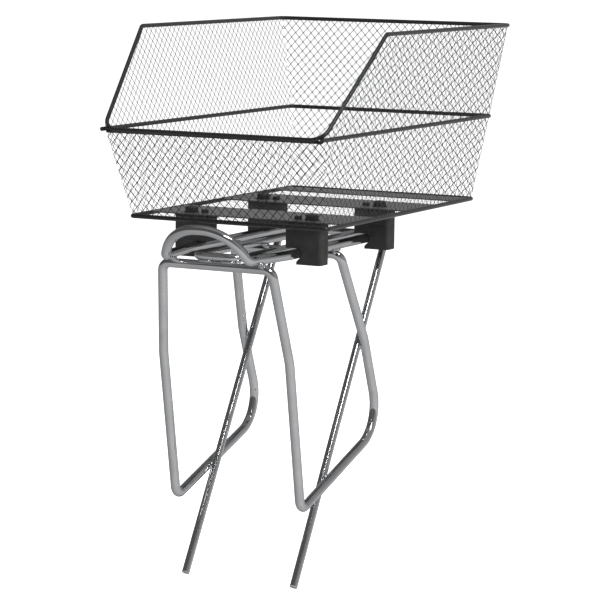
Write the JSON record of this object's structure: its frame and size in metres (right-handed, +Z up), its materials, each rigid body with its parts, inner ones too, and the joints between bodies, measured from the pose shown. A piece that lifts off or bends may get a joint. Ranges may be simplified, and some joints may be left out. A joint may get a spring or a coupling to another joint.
{
  "type": "bicycle rear carrier with basket",
  "caption": "Wire mesh basket with a low front, held by four sliding clamps on the rails of a bent chromed tube bicycle carrier.",
  "frame": {"origin": "middle of the line between the lower ends of the two stays, at the wheel's axle", "axes": "+Z up, +Y to the bicycle's rear, +X to the rider's left"},
  "size_m": [0.3452, 0.5479, 0.689],
  "materials": {
    "chrome_tube": "bright chromed steel tube",
    "plug_plastic": "pale grey moulded plug",
    "clamp_plastic": "fine-grained dark grey glass-filled plastic",
    "zinc_steel": "zinc plated nut",
    "black_steel": "black oxide screw",
    "coated_wire": "gloss black coated steel wire",
    "painted_strip": "satin black painted steel strip",
    "coated_mesh": "gloss black plastic coated diamond wire mesh"
  },
  "bodies": {
    "rack": {"outer_rail": "chrome_tube", "inner_rail": "chrome_tube", "stay_bar": "chrome_tube", "loop_left": "chrome_tube", "loop_right": "chrome_tube", "stay_plug_left": "plug_plastic", "stay_plug_right": "plug_plastic"},
    "basket": {"floor_frame": "coated_wire", "mid_wire": "coated_wire", "rim_wire": "coated_wire", "front_brace": "coated_wire", "strip_front": "painted_strip", "strip_back": "painted_strip", "strip_tail": "painted_strip", "mesh_floor": "coated_mesh", "mesh_front": "coated_mesh", "mesh_back": "coated_mesh", "mesh_left": "coated_mesh", "mesh_right": "coated_mesh"},
    "clamp_front_left": {"clamp_hook_front_left": "clamp_plastic", "clamp_spacer_front_left": "clamp_plastic", "clamp_nut_front_left": "zinc_steel", "clamp_screw_front_left": "black_steel"},
    "clamp_front_right": {"clamp_hook_front_right": "clamp_plastic", "clamp_spacer_front_right": "clamp_plastic", "clamp_nut_front_right": "zinc_steel", "clamp_screw_front_right": "black_steel"},
    "clamp_back_left": {"clamp_hook_back_left": "clamp_plastic", "clamp_spacer_back_left": "clamp_plastic", "clamp_nut_back_left": "zinc_steel", "clamp_screw_back_left": "black_steel"},
    "clamp_back_right": {"clamp_hook_back_right": "clamp_plastic", "clamp_spacer_back_right": "clamp_plastic", "clamp_nut_back_right": "zinc_steel", "clamp_screw_back_right": "black_steel"},
    "bolt_front_left": {"clamp_bolt_front_left": "black_steel", "clamp_washer_front_left": "black_steel"},
    "bolt_front_right": {"clamp_bolt_front_right": "black_steel", "clamp_washer_front_right": "black_steel"},
    "bolt_back_left": {"clamp_bolt_back_left": "black_steel", "clamp_washer_back_left": "black_steel"},
    "bolt_back_right": {"clamp_bolt_back_right": "black_steel", "clamp_washer_back_right": "black_steel"}
  },
  "joints": [
    {"name": "basket_slide", "type": "slide", "parent": "rack", "child": "basket", "axis": [0, 1, 0], "range_m": [-0.015, 0.008]},
    {"name": "clamp_slide_front_left", "type": "slide", "parent": "basket", "child": "clamp_front_left", "axis": [1, 0, 0], "range_m": [0, 0.01]},
    {"name": "bolt_turn_front_left", "type": "hinge", "parent": "clamp_front_left", "child": "bolt_front_left", "pos_m": [0.084, 0.0214, 0.45], "axis": [0, 0, 1], "continuous": true},
    {"name": "clamp_slide_front_right", "type": "slide", "parent": "basket", "child": "clamp_front_right", "axis": [-1, 0, 0], "range_m": [0, 0.01]},
    {"name": "bolt_turn_front_right", "type": "hinge", "parent": "clamp_front_right", "child": "bolt_front_right", "pos_m": [-0.084, 0.0214, 0.45], "axis": [0, 0, 1], "continuous": true},
    {"name": "clamp_slide_back_left", "type": "slide", "parent": "basket", "child": "clamp_back_left", "axis": [1, 0, 0], "range_m": [0, 0.01]},
    {"name": "bolt_turn_back_left", "type": "hinge", "parent": "clamp_back_left", "child": "bolt_back_left", "pos_m": [0.084, 0.2144, 0.45], "axis": [0, 0, 1], "continuous": true},
    {"name": "clamp_slide_back_right", "type": "slide", "parent": "basket", "child": "clamp_back_right", "axis": [-1, 0, 0], "range_m": [0, 0.01]},
    {"name": "bolt_turn_back_right", "type": "hinge", "parent": "clamp_back_right", "child": "bolt_back_right", "pos_m": [-0.084, 0.2144, 0.45], "axis": [0, 0, 1], "continuous": true}
  ]
}
